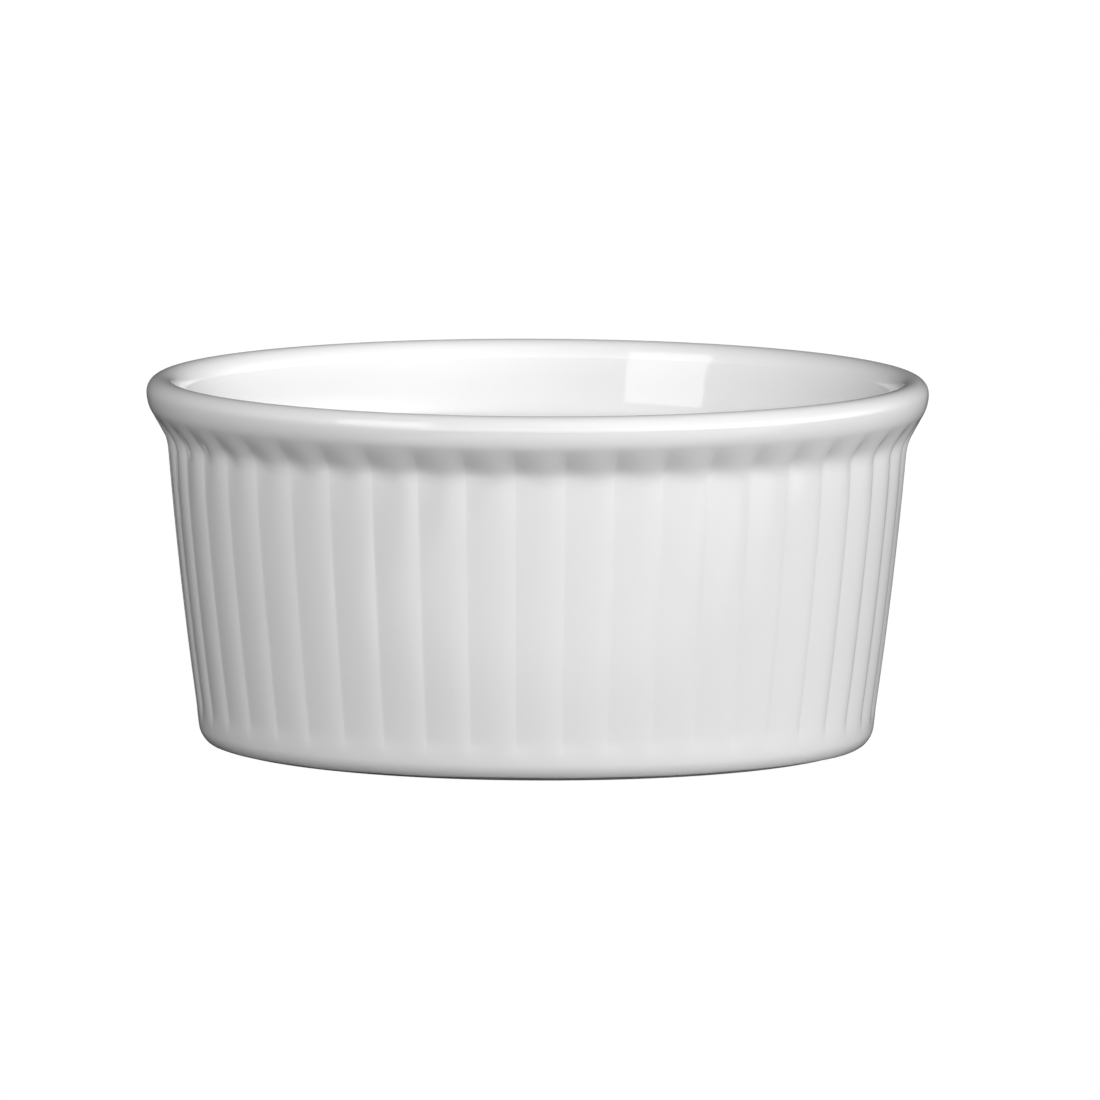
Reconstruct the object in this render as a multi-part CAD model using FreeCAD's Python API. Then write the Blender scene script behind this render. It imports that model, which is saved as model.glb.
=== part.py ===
import FreeCAD, Part
import math
import os

# Overall sizes of the glazed dish, in millimetres
rim_diameter = 90.0
height = 42.3
wall_thickness = 3.8
floor_thickness = 4.2
inner_corner_radius = 7.0

# Lip and wall outline: radii and lengths in millimetres, slopes from the upright in degrees
lip_top_radius = 1.7
lip_radius = 4.6
lip_slope = 28.0
flare_length = 2.65
neck_radius = 6.0
wall_slope = 4.86
wall_bow_radius = 526.0

# Foot
corner_radius = 2.0
foot_ring_width = 3.4
foot_recess = 0.9

# Glaze and the bare bands that are wiped clean before firing
glaze_thickness = 0.25
dry_band = 0.8
base_glaze_margin = 0.8

# Ribs: rounded crowns that lean to one side and meet in grooves, which run out on the lip and above the foot
rib_count = 47
groove_depth = 0.2
crown_share = 0.63
groove_foot_height = 5.0
groove_end_height = 39.7
run_out_depth = 0.05
rib_inset = 0.05
wall_station_count = 8
flare_station_count = 4

# Overrun of a shape past the surface that it trims
overrun = 1.5

rim_radius = rim_diameter / 2
full_turn = 360
axis_point = FreeCAD.Vector(0, 0, 0)
axis_up = FreeCAD.Vector(0, 0, 1)


def at(radius, level):
    """A point of the half section."""
    return FreeCAD.Vector(radius, 0, level)


def outward(slope, length):
    """A step out of the wall, square to a face that leans out by a slope."""
    lean = math.radians(slope)
    return at(length * math.cos(lean), -length * math.sin(lean))


def upward(slope, length):
    """A step up the wall, along a face that leans out by a slope."""
    lean = math.radians(slope)
    return at(length * math.sin(lean), length * math.cos(lean))


def towards(start, end, length):
    """The point at a distance from start in the direction of end."""
    return start + (end - start).normalize() * length


# Centres of the tangent arcs down the wall, from the lip to the foot, and the ends of the straight flare
lip_centre = at(rim_radius - lip_radius, height - lip_top_radius)
neck_centre = lip_centre + outward(lip_slope, lip_radius + neck_radius) - upward(lip_slope, flare_length)
bow_centre = neck_centre - outward(wall_slope, neck_radius + wall_bow_radius)
neck_level = (neck_centre - outward(wall_slope, neck_radius)).z
flare_foot = neck_centre - outward(lip_slope, neck_radius)
flare_top = flare_foot + upward(lip_slope, flare_length)


def bow_radius_at(level, reach):
    """Radius at a level of an arc about the wall's bow centre."""
    return bow_centre.x + math.sqrt(reach**2 - (level - bow_centre.z) ** 2)


# The outer lip rounding ends at the crest, where an inner one runs on into the flare inside
crest_radius = rim_radius - lip_top_radius
inner_lip_radius = lip_radius - wall_thickness
crest_run = crest_radius - lip_centre.x
inner_top_radius = (crest_run**2 + lip_top_radius**2 - inner_lip_radius**2) / (
    2 * (inner_lip_radius + lip_top_radius)
)
inner_top_centre = at(crest_radius, height - inner_top_radius)

# Outer corner, tangent to the clay wall and to the table, and inner corner, tangent to the wall and floor
corner_reach = wall_bow_radius - glaze_thickness - corner_radius
corner_centre = at(bow_radius_at(corner_radius, corner_reach), corner_radius)
floor_level = foot_recess + floor_thickness
inner_corner_level = floor_level + inner_corner_radius
inner_corner_reach = wall_bow_radius - wall_thickness - inner_corner_radius
inner_corner_centre = at(bow_radius_at(inner_corner_level, inner_corner_reach), inner_corner_level)

# Foot ring, and a line inside the clay on which the coat's blank is closed
foot_inner_radius = corner_centre.x - foot_ring_width
recess_radius = foot_inner_radius - foot_recess
clay_mid_radius = corner_centre.x - foot_ring_width / 2
clay_mid_level = foot_recess + floor_thickness / 2


def arc(centre, start, end):
    """The shorter arc about a centre from start to end."""
    middle = towards(centre, (start + end) / 2, (start - centre).Length)
    return Part.Arc(start, middle, end).toShape()


def line(start, end):
    return Part.makeLine(start, end)


def revolve(edges):
    face = Part.Face(Part.Wire(edges))
    return face.revolve(axis_point, axis_up, full_turn)


def cup_edges(skin, foot_point):
    """The outline from the floor's middle, up the inside, over the lip and down the outside to the corner.

    skin is how far the surface stands out of the glazed one: zero for glaze, and less than that for clay.
    """
    floor_middle = at(0, floor_level + skin)
    floor_edge = at(inner_corner_centre.x, floor_level + skin)
    inner_bow = wall_bow_radius - wall_thickness - skin
    inner_corner = towards(bow_centre, inner_corner_centre, inner_bow)
    inner_neck = neck_centre - outward(wall_slope, neck_radius + wall_thickness + skin)
    inner_flare_foot = neck_centre - outward(lip_slope, neck_radius + wall_thickness + skin)
    inner_flare_top = inner_flare_foot + upward(lip_slope, flare_length)
    inner_lip = towards(lip_centre, inner_top_centre, inner_lip_radius - skin)
    crest = at(crest_radius, height + skin)
    rim = at(rim_radius + skin, lip_centre.z)
    outer_flare_top = flare_top + outward(lip_slope, skin)
    outer_flare_foot = flare_foot + outward(lip_slope, skin)
    neck = neck_centre - outward(wall_slope, neck_radius - skin)
    corner = towards(bow_centre, corner_centre, wall_bow_radius + skin)
    return [
        line(floor_middle, floor_edge),
        arc(inner_corner_centre, floor_edge, inner_corner),
        arc(bow_centre, inner_corner, inner_neck),
        arc(neck_centre, inner_neck, inner_flare_foot),
        line(inner_flare_foot, inner_flare_top),
        arc(lip_centre, inner_flare_top, inner_lip),
        arc(inner_top_centre, inner_lip, crest),
        arc(at(crest_radius, lip_centre.z), crest, rim),
        arc(lip_centre, rim, outer_flare_top),
        line(outer_flare_top, outer_flare_foot),
        arc(neck_centre, outer_flare_foot, neck),
        arc(bow_centre, neck, corner),
        arc(corner_centre, corner, foot_point),
    ]


def clay_blank():
    """The turned clay cup before it is ribbed, with its foot ring and the recess under it."""
    corner_foot = at(corner_centre.x, 0)
    recess_foot = at(foot_inner_radius, 0)
    recess_top = at(recess_radius, foot_recess)
    recess_middle = at(0, foot_recess)
    edges = cup_edges(-glaze_thickness, corner_foot)
    edges += [
        line(corner_foot, recess_foot),
        arc(at(recess_radius, 0), recess_foot, recess_top),
        line(recess_top, recess_middle),
        line(recess_middle, edges[0].Vertexes[0].Point),
    ]
    return revolve(edges)


def coat_blank():
    """The glazed cup down to the dry band, closed inside the clay."""
    glazed_corner = corner_radius + glaze_thickness
    drop = corner_centre.z - dry_band
    dry_edge = corner_centre + at(math.sqrt(glazed_corner**2 - drop**2), -drop)
    dry_inside = at(clay_mid_radius, dry_band)
    clay_shoulder = at(clay_mid_radius, clay_mid_level)
    clay_middle = at(0, clay_mid_level)
    edges = cup_edges(0, dry_edge)
    edges += [
        line(dry_edge, dry_inside),
        line(dry_inside, clay_shoulder),
        line(clay_shoulder, clay_middle),
        line(clay_middle, edges[0].Vertexes[0].Point),
    ]
    return revolve(edges)


def flare_radius(level):
    """Radius of the glazed outside from the neck up to the rim."""
    if level < flare_foot.z:
        return neck_centre.x - math.sqrt(neck_radius**2 - (level - neck_centre.z) ** 2)
    if level < flare_top.z:
        return flare_foot.x + (level - flare_foot.z) * math.tan(math.radians(lip_slope))
    return lip_centre.x + math.sqrt(lip_radius**2 - (level - lip_centre.z) ** 2)


def rib_stations():
    """Level, crown radius and groove depth of the rib sections, from below the foot to above the rim.

    On the wall they come closer together towards the neck, where the outline turns.
    """
    stations = []
    for level in (-overrun, corner_radius):
        stations.append((level, bow_radius_at(level, wall_bow_radius) - rib_inset, run_out_depth))
    for step in range(wall_station_count):
        drop_share = (1 - step / (wall_station_count - 1)) ** 2
        level = neck_level - drop_share * (neck_level - groove_foot_height)
        stations.append((level, bow_radius_at(level, wall_bow_radius) - rib_inset, groove_depth))
    for step in range(1, flare_station_count + 1):
        rise_share = step / flare_station_count
        level = neck_level + rise_share * (groove_end_height - neck_level)
        lead = rise_share * (groove_depth + rib_inset) - rib_inset
        stations.append((level, flare_radius(level) + lead, groove_depth))
    stations.append((height + overrun, rim_radius + overrun, groove_depth))
    return stations


def rib_section(level, crown_radius, depth, skin):
    """One closed outline of convex ribs that meet in creases at the bottoms of the grooves.

    Each rib is a parabola between two creases, with its crown at a share of the way across.
    """

    def spot(radius, ribs):
        angle = 2 * math.pi * ribs / rib_count
        return FreeCAD.Vector(radius * math.sin(angle), -radius * math.cos(angle), level)

    edges = []
    for rib in range(rib_count):
        start = spot(crown_radius - depth + skin, rib - crown_share)
        crown = spot(crown_radius + skin, rib)
        end = spot(crown_radius - depth + skin, rib + 1 - crown_share)
        parabola = Part.BezierCurve()
        parabola.setPoles([start, crown * 2 - (start + end) / 2, end])
        edges.append(parabola.toShape())
    return Part.Wire(edges)


def ribbed_core(skin):
    """The solid inside the ribs, lofted up the wall and out past the lip."""
    sections = [rib_section(level, crown, depth, skin) for level, crown, depth in rib_stations()]
    return Part.makeLoft(sections, True)


def porcelain_body():
    """The fired clay cup: its turned blank kept only inside the ribs."""
    return clay_blank().common(ribbed_core(-glaze_thickness))


def glaze_coat(body):
    """The glass over the inside, the lip and the ribs, down to the dry band."""
    return coat_blank().common(ribbed_core(0)).cut(body)


def base_glaze():
    """The patch of glaze on the recess under the dish, clear of the wiped ring."""
    patch_radius = recess_radius - base_glaze_margin
    bottom = axis_up * (foot_recess - glaze_thickness)
    return Part.makeCylinder(patch_radius, glaze_thickness, bottom)


def export(shape, node):
    solid = shape.Solids[0]
    solid.exportStep(f"parts/{node}.step")
    print(node, "valid", solid.isValid(), "solids", len(shape.Solids), "volume", round(solid.Volume, 1))


os.makedirs("parts", exist_ok=True)
body = porcelain_body()
export(body, "porcelain_body")
export(glaze_coat(body), "glaze_coat")
export(base_glaze(), "base_glaze")
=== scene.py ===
import math

import bpy
import numpy as np
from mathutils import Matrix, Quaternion, Vector


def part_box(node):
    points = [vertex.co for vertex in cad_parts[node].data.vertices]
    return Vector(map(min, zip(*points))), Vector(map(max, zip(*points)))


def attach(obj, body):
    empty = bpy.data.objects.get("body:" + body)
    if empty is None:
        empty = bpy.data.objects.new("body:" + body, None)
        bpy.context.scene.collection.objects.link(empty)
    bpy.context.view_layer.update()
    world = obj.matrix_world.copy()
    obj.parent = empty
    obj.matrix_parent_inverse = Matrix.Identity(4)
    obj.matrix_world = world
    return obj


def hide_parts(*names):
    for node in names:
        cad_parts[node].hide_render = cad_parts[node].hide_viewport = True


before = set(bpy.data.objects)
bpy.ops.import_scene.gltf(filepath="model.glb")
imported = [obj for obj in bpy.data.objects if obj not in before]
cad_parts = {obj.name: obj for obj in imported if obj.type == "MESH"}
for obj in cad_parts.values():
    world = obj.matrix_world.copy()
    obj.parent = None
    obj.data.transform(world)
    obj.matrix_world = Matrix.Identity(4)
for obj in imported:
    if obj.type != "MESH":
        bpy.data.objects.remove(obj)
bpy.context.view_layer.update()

# Sizes of the dish in metres: the rim, crest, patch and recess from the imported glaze, the rest as made
mm = 0.001
_, coat_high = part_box("glaze_coat")
_, patch_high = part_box("base_glaze")
rim_radius = coat_high[0]
height = coat_high[2]
patch_radius = patch_high[0]
recess_level = patch_high[2]
wall_thickness = 3.8 * mm
floor_level = 5.1 * mm
glaze_thickness = 0.25 * mm

# Radii and slopes of the tangent arcs in the wall's outline, and the length of the straight flare
lip_top_radius = 1.7 * mm
lip_radius = 4.6 * mm
lip_slope = 28.0
flare_length = 2.65 * mm
neck_radius = 6.0 * mm
wall_slope = 4.86
bow_radius = 526.0 * mm
corner_radius = 2.4 * mm
inner_corner_radius = 7.0 * mm

# Ribs, which lean to one side. Their grooves deepen under the lip, and run out on it and above the foot
rib_count = 47
crown_share = 0.63
lean_share = 0.8
groove_depth = 0.28 * mm
rib_inset = 0.05 * mm
glaze_fill_share = 0.06
groove_foot = 5.0 * mm
scoop_depth = 0.36 * mm
scoop_shift_share = 0.14
scoop_start = 32.4 * mm
scoop_full = 35.5 * mm
run_out_start = 35.0 * mm
groove_end = 38.9 * mm

# Foot ring: its width, and how far inside its edges the rows lie that keep it flat
foot_ring_width = 3.06 * mm
foot_edge = 0.08 * mm

# Edges where the glaze stops above the foot and in the recess. They wander by waves round the dish, each
# with its count, strength and start
dry_band = 0.2 * mm
dry_wander = 0.07 * mm
dry_waves = ((3, 1.0, 0.7), (7, 0.7, 2.1), (17, 0.5, 4.0))
bead_length = 0.4 * mm
patch_inset = 0.286 * mm
patch_wander = 0.11 * mm
patch_waves = ((2, 1.0, 1.0), (5, 0.8, 3.3), (11, 0.6, 0.4))

# Glaze: its two whites, the grey of the shade painted into the grooves, and how many clouds, ripples and
# grains lie in a metre
glaze_whites = ((0.86, 0.86, 0.858, 1), (0.875, 0.875, 0.873, 1))
# Painted shade in the grooves: its grey, and the share of it that the glaze takes at a groove's bottom
groove_shade_grey = (0.76, 0.765, 0.768, 1)
groove_shade_strength = 0.1
cloud_scale = 60.0
ripple_scale = 350.0
glaze_grain_scale = 900.0
ripple_height = 0.04 * mm
glaze_roughness = 0.045
glaze_ior = 1.55

# Bare clay: its two whites, the grey of use, and how many grains and stains lie in a metre
clay_whites = ((0.81, 0.805, 0.79, 1), (0.83, 0.825, 0.81, 1))
worn_grey = (0.68, 0.67, 0.65, 1)
worn_grey_share = 0.4
clay_grain_scale = 2500.0
stain_scale = 140.0
clay_grain_height = 0.06 * mm
clay_roughness = 0.62
clay_ior = 1.5

# Camera, as the photograph was taken: angles in degrees, lens and sensor in millimetres
camera_target = Vector((1.5 * mm, 0, 22.27 * mm))
camera_distance = 2.45
camera_turn = -1.53
camera_rise = 6.39
camera_roll = 0.25
camera_lens = 696.4
camera_sensor = 36.0

# Lamps: turn, rise, tilt and roll in degrees, distance, width and length in metres, power in watts, and
# whether the glaze mirrors them. The softbox shows in the lip and in the far wall inside. The other two
# light the back and, from under the floor, the foot
lamps = {
    "softbox": (-52, 38, 12, 13, 0.8, 0.36, 0.51, 1.5, True),
    "back_fill": (180, 8, 8, 0, 1.2, 1.2, 0.3, 7.5, False),
    "foot_fill": (0, -90, -90, 0, 0.6, 0.5, 0.5, 1.6, True),
}

# Soft light round the object: turn and rise of each glow's middle in degrees, and its strength
glow_sharpness = 16
studio_glows = (
    (-42, 3, 2.3),
    (-18, 3, 0.6),
    (6, 3, 1.2),
    (30, 3, 1.8),
    (54, 3, 4.5),
    (78, 3, 4.8),
    (105, 3, 2.8),
    (-95, 21, 0.5),
    (-68, 21, 0.9),
    (-18, 21, 1.1),
    (6, 21, 0.8),
    (30, 21, 1.2),
    (54, 21, 0.3),
    (54, 39, 0.4),
    (30, 57, 1.1),
)

# Floor: its size in metres, its colour under the lamps, and its glow where it is seen
floor_radius = 4.0
floor_sides = 96
floor_colour = (0.05, 0.05, 0.05, 1)
floor_glow = 0.98

# Sheets of the floor's glow that the glaze mirrors, in metres from the dish's axis: one in front, open to
# the right, and a narrow one far behind. Each edge fades over a blur
front_sheet_near = -0.07
front_sheet_far = -0.26
front_sheet_left = -0.08
back_sheet_near = 0.5
back_sheet_half = 0.07
sheet_blur = 0.02
front_far_blur = 0.04
back_near_blur = 0.1


# Half section of the glazed dish

def outward(slope, length):
    """A step in the half section, square to a face that leans out from the upright by slope degrees."""
    lean = math.radians(slope)
    return np.array((length * math.cos(lean), -length * math.sin(lean)))


def upward(slope, length):
    """A step in the half section, up a face that leans out from the upright by slope degrees."""
    lean = math.radians(slope)
    return np.array((length * math.sin(lean), length * math.cos(lean)))


def angle_of(step):
    return math.degrees(math.atan2(step[1], step[0]))


lip_centre = np.array((rim_radius - lip_radius, height - lip_top_radius))
flare_step = upward(lip_slope, flare_length)
neck_centre = lip_centre + outward(lip_slope, lip_radius + neck_radius) - flare_step
bow_centre = neck_centre - outward(wall_slope, neck_radius + bow_radius)
crest_centre = np.array((rim_radius - lip_top_radius, lip_centre[1]))
inner_lip_radius = lip_radius - wall_thickness
crest_run = crest_centre[0] - lip_centre[0]
inner_top_radius = (crest_run**2 + lip_top_radius**2 - inner_lip_radius**2) / (
    2 * (inner_lip_radius + lip_top_radius)
)
inner_top_centre = np.array((crest_centre[0], height - inner_top_radius))


def bow_point(level, reach):
    """The point at a level on an arc about the wall's bow centre."""
    return np.array((bow_centre[0] + math.sqrt(reach**2 - (level - bow_centre[1]) ** 2), level))


corner_centre = bow_point(corner_radius, bow_radius - glaze_thickness - corner_radius)
inner_corner_centre = bow_point(
    floor_level + inner_corner_radius, bow_radius - wall_thickness - inner_corner_radius
)
outside_arcs = 7


def glazed_arcs():
    """The glazed outline as tangent arcs from the dry edge up the outside and down the inside.

    Each arc has a centre, the step that its centre moves, a radius, its first and last angle, a count
    of rows, and 1 where the surface faces away from the centre or -1 where it faces the centre. On the
    straight flare the centre moves and the angle stays. The outside arcs come first, up to the crest.
    """
    still = np.zeros(2)
    neck_turn = 180 - lip_slope
    glazed_corner = corner_radius + glaze_thickness
    dry_angle = math.degrees(math.asin((dry_band - corner_centre[1]) / glazed_corner))
    corner_angle = angle_of(corner_centre - bow_centre)
    foot_angle = angle_of(bow_point(groove_foot, bow_radius) - bow_centre)
    inner_angle = angle_of(inner_corner_centre - bow_centre)
    roll_in = angle_of(inner_top_centre - lip_centre)
    return (
        (corner_centre, still, glazed_corner, dry_angle, corner_angle, 10, 1),
        (bow_centre, still, bow_radius, corner_angle, foot_angle, 6, 1),
        (bow_centre, still, bow_radius, foot_angle, -wall_slope, 8, 1),
        (neck_centre, still, neck_radius, 180 - wall_slope, neck_turn, 14, -1),
        (neck_centre, flare_step, neck_radius, neck_turn, neck_turn, 10, -1),
        (lip_centre, still, lip_radius, -lip_slope, 0, 10, 1),
        (crest_centre, still, lip_top_radius, 0, 90, 12, 1),
        (inner_top_centre, still, inner_top_radius, 90, 180 + roll_in, 9, 1),
        (lip_centre, still, inner_lip_radius, roll_in, -lip_slope, 4, -1),
        (lip_centre, -flare_step, inner_lip_radius, -lip_slope, -lip_slope, 4, -1),
        (neck_centre, still, neck_radius + wall_thickness, neck_turn, 180 - wall_slope, 7, 1),
        (bow_centre, still, bow_radius - wall_thickness, -wall_slope, inner_angle, 8, -1),
        (inner_corner_centre, still, inner_corner_radius, inner_angle, -90, 14, -1),
    )


def wandering(turn, waves):
    """A sum of waves round the dish: strength times the sine of count times the turn plus start."""
    return sum(strength * np.sin(count * turn + start) for count, strength, start in waves)


def glazed_section(turn):
    """Radius, level and facing of the glazed outline for each row and turn, and its outside row count.

    A row's point is its arc's centre plus the radius times (cos, sin) of its angle. The dry edge
    wanders: the corner's angles shift by waves, most at the edge and not at all at the wall. The floor
    is flat rows from the inner corner to the axis.
    """
    arcs = glazed_arcs()
    centre, step, reach, first, last, counts, side = zip(*arcs)
    spans = [np.linspace(0, 1, rows, endpoint=False)[:, None] for rows in counts]
    angles = np.concatenate([(a + (b - a) * span)[:, 0] for a, b, span in zip(first, last, spans)])
    centres = np.vstack([start + move * span for start, move, span in zip(centre, step, spans)])
    radii = np.repeat(reach, counts)
    sides = np.repeat(side, counts)
    share_left = np.zeros(len(angles))
    share_left[: counts[0]] = np.linspace(1, 0, counts[0], endpoint=False)
    shift = dry_wander / corner_radius * share_left[:, None] * wandering(turn, dry_waves)
    angle = np.radians(angles)[:, None] + shift
    radius = centres[:, :1] + radii[:, None] * np.cos(angle)
    level = centres[:, 1:] + radii[:, None] * np.sin(angle)
    facing_out = sides[:, None] * np.cos(angle)
    facing_up = sides[:, None] * np.sin(angle)
    floor_rows = 10
    floor_radii = np.linspace(inner_corner_centre[0], 0, floor_rows + 1)[:, None] * np.ones_like(turn)
    radius = np.vstack((radius, floor_radii))
    level = np.vstack((level, np.full_like(floor_radii, floor_level)))
    facing_out = np.vstack((facing_out, np.zeros_like(floor_radii)))
    facing_up = np.vstack((facing_up, np.ones_like(floor_radii)))
    return radius, level, facing_out, facing_up, sum(counts[:outside_arcs])


def place_across(share):
    """Where on a rib's pitch a parabola that leans to one side stands, for a share of its own run."""
    return 2 * lean_share * share - (2 * lean_share - 1) * share**2


def groove_share(turn):
    """How far into a groove a place round the wall lies: 0 on a crown and nearly 1 at a groove's bottom.

    Each rib is a parabola that leans. With p the place across the pitch and c the lean, its run is t,
    the root of p = 2 c t - (2 c - 1) t squared, and the share is (1 - 2 t) squared. The glaze rounds
    the bottom: the distance in t to the nearest groove is softened to the root of its square plus the
    fill squared.
    """
    place = np.mod(turn * rib_count / (2 * np.pi) + crown_share, 1.0)
    excess = 2 * lean_share - 1
    run = (lean_share - np.sqrt(lean_share**2 - excess * place)) / excess
    softened = np.sqrt(np.minimum(run, 1 - run) ** 2 + glaze_fill_share**2)
    return np.clip(1 - 2 * softened, 0, None) ** 2


def rising(level, low, high):
    """0 below a low level, 1 above a high one, and a smooth step from one to the other."""
    share = np.clip((level - low) / (high - low), 0, 1)
    return share * share * (3 - 2 * share)


def groove_fade(level):
    """The share of the grooves that is left at a level: they run out above the foot and on the lip."""
    return rising(level, corner_radius, groove_foot) * (1 - rising(level, run_out_start, groove_end))


def rib_relief(turn, level):
    """How far the ribbed outside stands in from the smooth outline, as a negative distance.

    It is the crowns' inset plus the groove's depth times its share. Under the lip a shallow scoop ends
    each groove: it deepens by a smooth step, and is a raised cosine across. All of it fades towards the
    foot and the lip.
    """
    groove = rib_inset + groove_depth * groove_share(turn)
    across = (1 + np.cos(turn * rib_count + 2 * np.pi * (crown_share - scoop_shift_share))) / 2
    scoop = scoop_depth * rising(level, scoop_start, scoop_full) * across
    return -groove_fade(level) * (groove + scoop)


def ribbed_section(turn):
    """The glazed outline's radius, level, facing and ribs' relief for each row and turn, and its outside
    row count.
    """
    radius, level, out, up, outside_rows = glazed_section(turn)
    relief = np.zeros_like(radius)
    relief[:outside_rows] = rib_relief(turn, level[:outside_rows])
    return radius, level, out, up, relief, outside_rows


def clay_section(turn):
    """The face on which the glaze lies: some of the outline's rows, moved in by the glaze's thickness."""
    radius, level, out, up, relief, _ = ribbed_section(turn)
    row_step = 3
    rows = np.append(np.arange(1, len(radius) - 1, row_step), len(radius) - 1)
    clay_radius = (radius + (relief - glaze_thickness) * out)[rows]
    clay_level = (level + (relief - glaze_thickness) * up)[rows]
    clay_radius[-1] = 0
    return clay_radius, clay_level


# Meshes

def rib_turns():
    """Turns of the columns about the axis: the same places on every rib, closest at the grooves."""
    runs = np.array((0, 0.02, 0.05, 0.1, 0.2, 0.35, 0.5, 0.65, 0.8, 0.9, 0.95, 0.98))
    ribs = np.arange(rib_count)[:, None] + place_across(runs) - crown_share
    return ribs.ravel() * 2 * np.pi / rib_count


def sheet_faces(rows, columns):
    """Quads between the rows of a grid whose columns run round the axis and close."""
    row = np.arange(rows - 1)[:, None]
    column = np.arange(columns)
    following = (column + 1) % columns
    corners = (
        row * columns + column,
        row * columns + following,
        (row + 1) * columns + following,
        (row + 1) * columns + column,
    )
    return np.stack([np.broadcast_to(c, (rows - 1, columns)).ravel() for c in corners], 1)


def turned_mesh(name, radius, level, turn, attributes=()):
    """A smooth mesh of a section carried round the axis; the front is turn 0.

    A point is (radius times sin, minus radius times cos, level) of its turn. Rows whose radius is zero at
    every turn are drawn together to one point, with a fan of triangles. Where neither end row is such a
    point, the last row joins the first, as a closed section does.
    """
    x = radius * np.sin(turn)
    y = -radius * np.cos(turn)
    points = np.stack((x, y, level * np.ones_like(x)), -1).reshape(-1, 3)
    rows, columns = x.shape
    faces = sheet_faces(rows, columns)
    poles = [row for row in range(rows) if not radius[row].any()]
    keep = np.arange(rows * columns)
    for pole in poles:
        keep[pole * columns : (pole + 1) * columns] = pole * columns
    if 0 not in poles and rows - 1 not in poles:
        last = (rows - 1) * columns + np.arange(columns)
        first = np.arange(columns)
        closing = np.stack((last, np.roll(last, -1), np.roll(first, -1), first), 1)
        faces = np.vstack((faces, closing))
    faces = keep[faces]
    used, compact = np.unique(faces, return_inverse=True)
    faces = compact.reshape(faces.shape)
    polygons = [tuple(dict.fromkeys(face)) for face in faces.tolist()]
    polygons = [polygon for polygon in polygons if len(polygon) > 2]
    mesh = bpy.data.meshes.new(name)
    mesh.from_pydata(points[used].tolist(), [], polygons)
    for key, values in attributes:
        layer = mesh.attributes.new(key, "FLOAT", "POINT")
        layer.data.foreach_set("value", values.reshape(-1)[used].astype(np.float32))
    mesh.shade_smooth()
    mesh.validate()
    piece = bpy.data.objects.new(name, mesh)
    bpy.context.scene.collection.objects.link(piece)
    return piece


def clay_body():
    """The clay cup: the recess, the foot ring, the corner up to the glaze, and the face under the glaze.

    The recess ends in a quarter round, and the corner's rows run from straight down to the glaze's edge.
    """
    turn = rib_turns()
    all_round = np.ones_like(turn)
    _, _, out, up, _ = glazed_section(turn)
    dry_angle = np.arctan2(up[0], out[0])
    straight_down = -np.pi / 2
    corner_shares = np.linspace(0, 1, 9)[:, None]
    corner = straight_down + corner_shares * (dry_angle - straight_down)
    foot_inner = corner_centre[0] - foot_ring_width
    recess_radius = foot_inner - recess_level
    sweep = np.radians((90, 80, 65, 50, 35, 20, 8, 0))[:, None] * all_round
    ring = np.array((foot_inner + foot_edge, corner_centre[0] - foot_edge))[:, None] * all_round
    clay_radius, clay_level = clay_section(turn)
    radius = np.vstack((
        np.array((0, recess_radius / 2))[:, None] * all_round,
        recess_radius + recess_level * np.cos(sweep),
        ring,
        corner_centre[0] + corner_radius * np.cos(corner),
        clay_radius,
    ))
    level = np.vstack((
        np.full((2, len(turn)), recess_level),
        recess_level * np.sin(sweep),
        np.zeros_like(ring),
        corner_centre[1] + corner_radius * np.sin(corner),
        clay_level,
    ))
    return turned_mesh("clay_body", radius, level, turn)


def glaze_skin():
    """The glaze as a thin closed skin, from the dry edge to the floor's middle and back along the clay.

    The outer face is the glazed outline moved in by the ribs' relief. It rises from the clay at the dry
    edge in a quarter round bead. The face on the clay is the same outline moved in by the glaze's
    thickness. A mask of painted shade is more in the grooves, and less on the crest, by a bell curve.
    """
    turn = rib_turns()
    radius, level, out, up, relief, outside_rows = ribbed_section(turn)
    run = np.hypot(np.diff(radius, axis=0), np.diff(level, axis=0)).cumsum(axis=0)
    run = np.vstack((np.zeros_like(turn), run))
    bead_left = np.clip(1 - run / bead_length, 0, 1)
    sink = glaze_thickness * (1 - np.sqrt(1 - bead_left**2))
    face_radius = radius + (relief - sink) * out
    face_level = level + (relief - sink) * up
    face_radius[-1] = 0
    clay_radius, clay_level = (rows[::-1] for rows in clay_section(turn))
    # A mask of painted shade: near 1 at a groove's bottom, where it greys the glaze
    groove_shade_mask = np.zeros_like(radius)
    groove_shade_mask[:outside_rows] = groove_share(turn) * groove_fade(level[:outside_rows])
    thin = np.exp(-(((level - height) / lip_top_radius) ** 2))
    painted_shade_field = np.vstack((groove_shade_mask - thin, np.zeros_like(clay_radius)))
    return turned_mesh(
        "glaze_skin",
        np.vstack((face_radius, clay_radius)),
        np.vstack((face_level, clay_level)),
        turn,
        (("painted_groove_shade", painted_shade_field),),
    )


def recess_glaze():
    """The glaze in the recess: a disc with a quarter round edge, which wanders by a sum of waves."""
    columns = 288
    edge_rows = 9
    face_rows = 12
    turn = np.linspace(0, 2 * np.pi, columns, endpoint=False)
    edge = patch_radius - patch_inset - patch_wander * wandering(turn, patch_waves)
    edge_angle = np.radians(np.linspace(0, 90, edge_rows))[:, None]
    edge_radii = edge - glaze_thickness * (1 - np.cos(edge_angle))
    edge_levels = recess_level - glaze_thickness * np.sin(edge_angle) * np.ones_like(turn)
    face_radii = np.linspace(1, 0, face_rows + 1)[1:, None] * edge_radii[-1]
    face_levels = np.broadcast_to(edge_levels[-1], face_radii.shape)
    back_radii = np.array((0.0, 0.5))[:, None] * edge
    back_levels = np.full_like(back_radii, recess_level)
    radius = np.vstack((edge_radii, face_radii, back_radii))[::-1]
    level = np.vstack((edge_levels, face_levels, back_levels))[::-1]
    return turned_mesh("recess_glaze", radius, level, turn, (("painted_groove_shade", np.zeros_like(radius)),))


# Shader expressions

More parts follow.
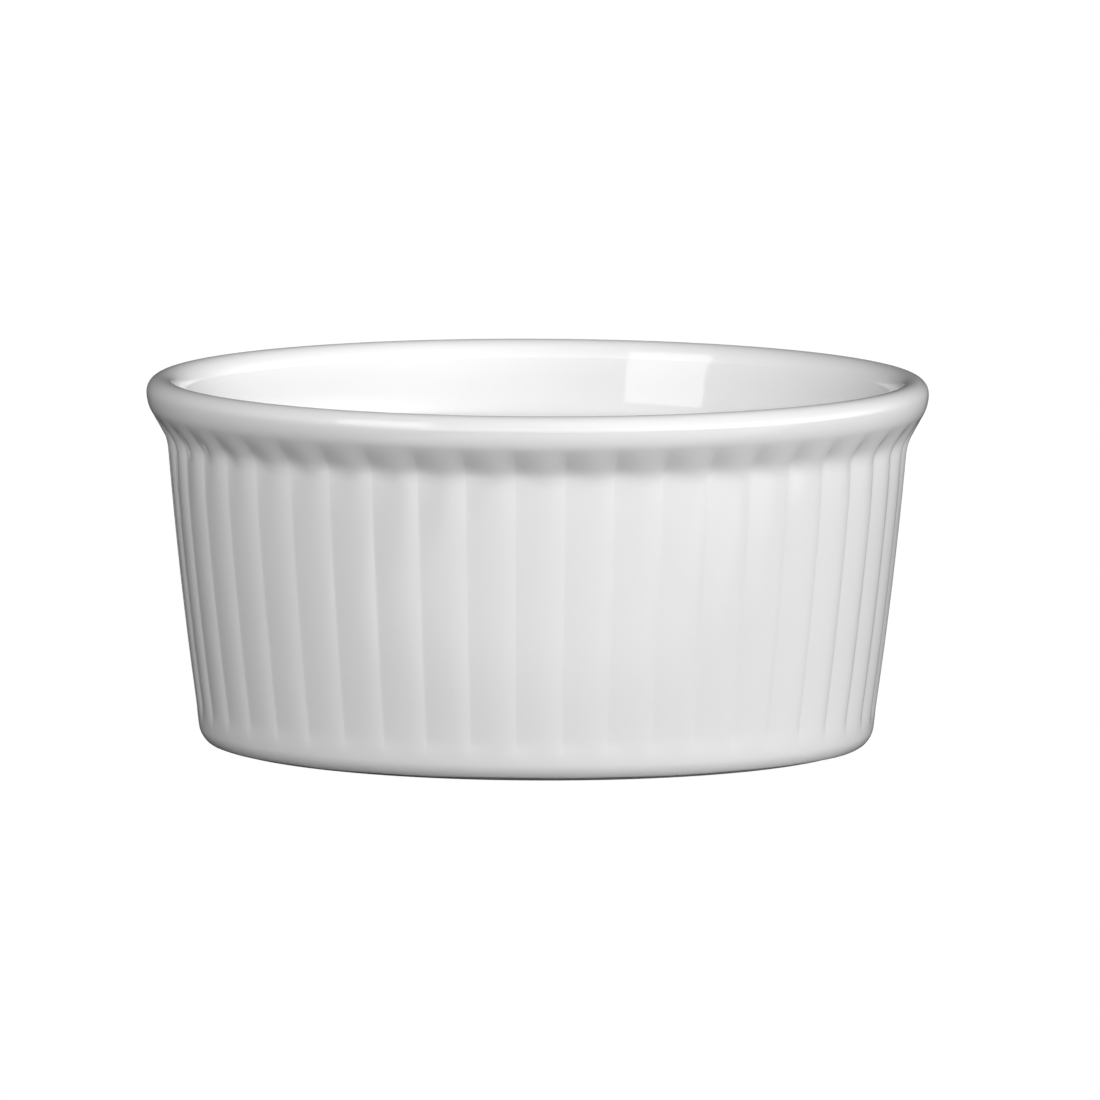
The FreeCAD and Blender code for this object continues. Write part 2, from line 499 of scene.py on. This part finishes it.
class Value:
    """A shader socket that takes part in Python expressions: each operator adds a Math node."""

    def __init__(self, tree, socket):
        self.tree = tree
        self.socket = socket

    def math(self, operation, *values):
        return node(self.tree, "ShaderNodeMath", {"operation": operation}, dict(enumerate(values)))

    def __add__(self, other):
        return self.math("ADD", self, other)

    __radd__ = __add__

    def __sub__(self, other):
        return self.math("SUBTRACT", self, other)

    def __rsub__(self, other):
        return self.math("SUBTRACT", other, self)

    def __mul__(self, other):
        return self.math("MULTIPLY", self, other)

    __rmul__ = __mul__

    def __pow__(self, other):
        return self.math("POWER", self, other)

    def at_least(self, other):
        return self.math("MAXIMUM", self, other)

    def magnitude(self):
        return self.math("ABSOLUTE", self)

    def between(self, low, high):
        """0 below a low value, 1 above a high one, and a smooth step from one to the other."""
        settings = {"interpolation_type": "SMOOTHSTEP"}
        return node(self.tree, "ShaderNodeMapRange", settings, {0: self, 1: low, 2: high})

    def past(self, edge, blur):
        """0 before an edge and 1 past it, with a smooth step over the blur on each side."""
        return self.between(edge - blur, edge + blur)


def node(tree, kind, settings=None, inputs=None, output=0):
    """A new node: its settings are set first, then its sockets' values or links. Gives one output."""
    made = tree.nodes.new(kind)
    for key, setting in (settings or {}).items():
        setattr(made, key, setting)
    for key, given in (inputs or {}).items():
        if isinstance(given, Value):
            tree.links.new(given.socket, made.inputs[key])
        else:
            made.inputs[key].default_value = given
    return Value(tree, made.outputs[output])


def new_material(name):
    material = bpy.data.materials.new(name)
    material.use_nodes = True
    material.node_tree.nodes.clear()
    return material, material.node_tree


def finish_shader(tree, surface, kind="ShaderNodeOutputMaterial"):
    output = tree.nodes.new(kind)
    tree.links.new(surface.socket, output.inputs["Surface"])


def noise(tree, place, scale, detail=2.0):
    """Noise from 0 to 1 whose features are about 1 / scale metres across."""
    return node(tree, "ShaderNodeTexNoise", None, {"Vector": place, "Scale": scale, "Detail": detail})


def mixed(tree, share, first, second):
    """The first colour where the share is 0, and the second where it is 1."""
    settings = {"data_type": "RGBA"}
    return node(tree, "ShaderNodeMix", settings, {0: share, 6: first, 7: second}, output=2)


def white_glaze():
    """Fired white glaze: glossy, a little greyer in the grooves as painted shade, faintly uneven all over.
    """
    material, tree = new_material("white_glaze")
    place = node(tree, "ShaderNodeTexCoord", output="Object")
    painted_shade_field = node(tree, "ShaderNodeAttribute", {"attribute_name": "painted_groove_shade"}, output="Fac")
    cloud = noise(tree, place, cloud_scale)
    grain = noise(tree, place, glaze_grain_scale, 3.0)
    groove_shade_mask = painted_shade_field.between(0.0, 1.0)
    colour = mixed(tree, cloud.between(0.3, 0.7), *glaze_whites)
    # Painted shade: the glaze greys a little in the grooves
    colour = mixed(tree, groove_shade_mask * groove_shade_strength, colour, groove_shade_grey)
    ripple = noise(tree, place, ripple_scale, 1.0)
    bump_inputs = {"Strength": 0.25, "Distance": ripple_height, "Height": ripple + grain * 0.1}
    bump = node(tree, "ShaderNodeBump", None, bump_inputs)
    surface = node(
        tree,
        "ShaderNodeBsdfPrincipled",
        None,
        {
            "Base Color": colour,
            "Roughness": glaze_roughness + cloud * 0.03 + groove_shade_mask * 0.02,
            "IOR": glaze_ior,
            "Normal": bump,
        },
    )
    finish_shader(tree, surface)
    return material


def bare_porcelain():
    """Unglazed porcelain: matt and off-white, with fine grain and the grey of use on the foot ring."""
    material, tree = new_material("bare_porcelain")
    place = node(tree, "ShaderNodeTexCoord", output="Object")
    grain = noise(tree, place, clay_grain_scale, 4.0)
    stain = noise(tree, place, stain_scale, 4.0).between(0.45, 0.75)
    colour = mixed(tree, grain, *clay_whites)
    colour = mixed(tree, stain * worn_grey_share, colour, worn_grey)
    bump_inputs = {"Strength": 0.5, "Distance": clay_grain_height, "Height": grain}
    bump = node(tree, "ShaderNodeBump", None, bump_inputs)
    surface = node(
        tree,
        "ShaderNodeBsdfPrincipled",
        None,
        {
            "Base Color": colour,
            "Roughness": clay_roughness + grain * 0.2,
            "IOR": clay_ior,
            "Normal": bump,
        },
    )
    finish_shader(tree, surface)
    return material


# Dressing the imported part

def dress(piece, material, node_name):
    """Gives a piece its finish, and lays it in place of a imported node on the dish's one body."""
    piece.data.materials.append(material)
    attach(piece, "root")
    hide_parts(node_name)


glaze = white_glaze()
clay = bare_porcelain()
dress(glaze_skin(), glaze, "glaze_coat")
dress(recess_glaze(), glaze, "base_glaze")
dress(clay_body(), clay, "porcelain_body")


# Floor, light and camera

def towards(turn, rise):
    """The direction at a turn from the front towards the right and a rise above the table, in degrees."""
    t, r = math.radians(turn), math.radians(rise)
    return Vector((math.sin(t) * math.cos(r), -math.cos(t) * math.cos(r), math.sin(r)))


def ray_kind(tree, kind):
    return node(tree, "ShaderNodeLightPath", output=kind)


def pale_floor():
    """A level floor that keeps the object's shadow, is clear from below, and is open under the foot ring.

    It glows white to the camera. Mirrored and refracted rays see that glow on the sheets in front of the
    dish and far behind it, and elsewhere the shaded table.
    """
    turn = np.linspace(0, 2 * np.pi, floor_sides, endpoint=False)
    radius = np.array((floor_radius, corner_centre[0] - foot_edge))[:, None]
    x = radius * np.cos(turn)
    y = radius * np.sin(turn)
    points = np.stack((x, y, np.zeros_like(x)), -1).reshape(-1, 3)
    mesh = bpy.data.meshes.new("pale_floor")
    mesh.from_pydata(points.tolist(), [], sheet_faces(2, floor_sides).tolist())
    floor = bpy.data.objects.new("pale_floor", mesh)
    bpy.context.scene.collection.objects.link(floor)
    material, tree = new_material("pale_floor")
    place = node(tree, "ShaderNodeTexCoord", output="Object")
    across = node(tree, "ShaderNodeSeparateXYZ", None, {0: place}, output="X")
    along = node(tree, "ShaderNodeSeparateXYZ", None, {0: place}, output="Y")
    front = 1 - along.past(front_sheet_near, sheet_blur)
    front = front * along.past(front_sheet_far, front_far_blur)
    front = front * across.past(front_sheet_left, sheet_blur)
    back = 1 - across.magnitude().past(back_sheet_half, sheet_blur)
    sheet = front.at_least(back * along.past(back_sheet_near, back_near_blur))
    mirrored = ray_kind(tree, "Is Glossy Ray").at_least(ray_kind(tree, "Is Transmission Ray"))
    seen = ray_kind(tree, "Is Camera Ray").at_least(mirrored * sheet)
    matt = node(tree, "ShaderNodeBsdfDiffuse", None, {"Color": floor_colour})
    glow = node(tree, "ShaderNodeEmission", None, {"Strength": seen * floor_glow})
    lit = node(tree, "ShaderNodeAddShader", None, {0: matt, 1: glow})
    clear = node(tree, "ShaderNodeBsdfTransparent")
    below = node(tree, "ShaderNodeNewGeometry", output="Backfacing")
    finish_shader(tree, node(tree, "ShaderNodeMixShader", None, {0: below, 1: lit, 2: clear}))
    mesh.materials.append(material)


def rectangular_lamp(name, turn, rise, tilt, roll, distance, width, length, power, mirrored):
    """A rectangular lamp at a turn, rise and distance, which faces the axis at a tilt and is rolled."""
    lamp = bpy.data.lights.new(name, "AREA")
    lamp.shape = "RECTANGLE"
    lamp.size = width
    lamp.size_y = length
    lamp.energy = power
    light = bpy.data.objects.new(name, lamp)
    light.location = towards(turn, rise) * distance
    light.rotation_mode = "QUATERNION"
    aim = (-towards(turn, tilt)).to_track_quat("-Z", "Y")
    light.rotation_quaternion = aim @ Quaternion((0, 0, 1), math.radians(roll))
    light.visible_glossy = mirrored
    bpy.context.scene.collection.objects.link(light)


def soft_studio():
    """The light round the object: glows that fall off as a power of the cosine from their middle.

    To the camera it is as white as the floor.
    """
    world = bpy.data.worlds.new("soft_studio")
    bpy.context.scene.world = world
    world.use_nodes = True
    tree = world.node_tree
    tree.nodes.clear()
    direction = node(tree, "ShaderNodeTexCoord", output="Generated")
    strength = 0
    for turn, rise, power in studio_glows:
        inputs = {0: direction, 1: tuple(towards(turn, rise))}
        cosine = node(tree, "ShaderNodeVectorMath", {"operation": "DOT_PRODUCT"}, inputs, output="Value")
        strength = cosine.at_least(0) ** glow_sharpness * power + strength
    seen = ray_kind(tree, "Is Camera Ray")
    strength = strength * (1 - seen) + seen * floor_glow
    surface = node(tree, "ShaderNodeBackground", None, {"Strength": strength})
    finish_shader(tree, surface, "ShaderNodeOutputWorld")


def camera():
    """A long lens, aimed at the target and then rolled a little."""
    lens = bpy.data.cameras.new("camera")
    lens.lens = camera_lens
    lens.sensor_width = camera_sensor
    viewer = bpy.data.objects.new("camera", lens)
    bpy.context.scene.collection.objects.link(viewer)
    level = Vector((0, 0, camera_target.z))
    viewer.location = level + towards(camera_turn, camera_rise) * camera_distance
    viewer.rotation_mode = "QUATERNION"
    aim = (camera_target - viewer.location).to_track_quat("-Z", "Y")
    viewer.rotation_quaternion = aim @ Quaternion((0, 0, 1), math.radians(camera_roll))
    bpy.context.scene.camera = viewer


pale_floor()
for lamp_name, lamp_sizes in lamps.items():
    rectangular_lamp(lamp_name, *lamp_sizes)
soft_studio()
camera()
bpy.context.scene.view_settings.view_transform = "Standard"
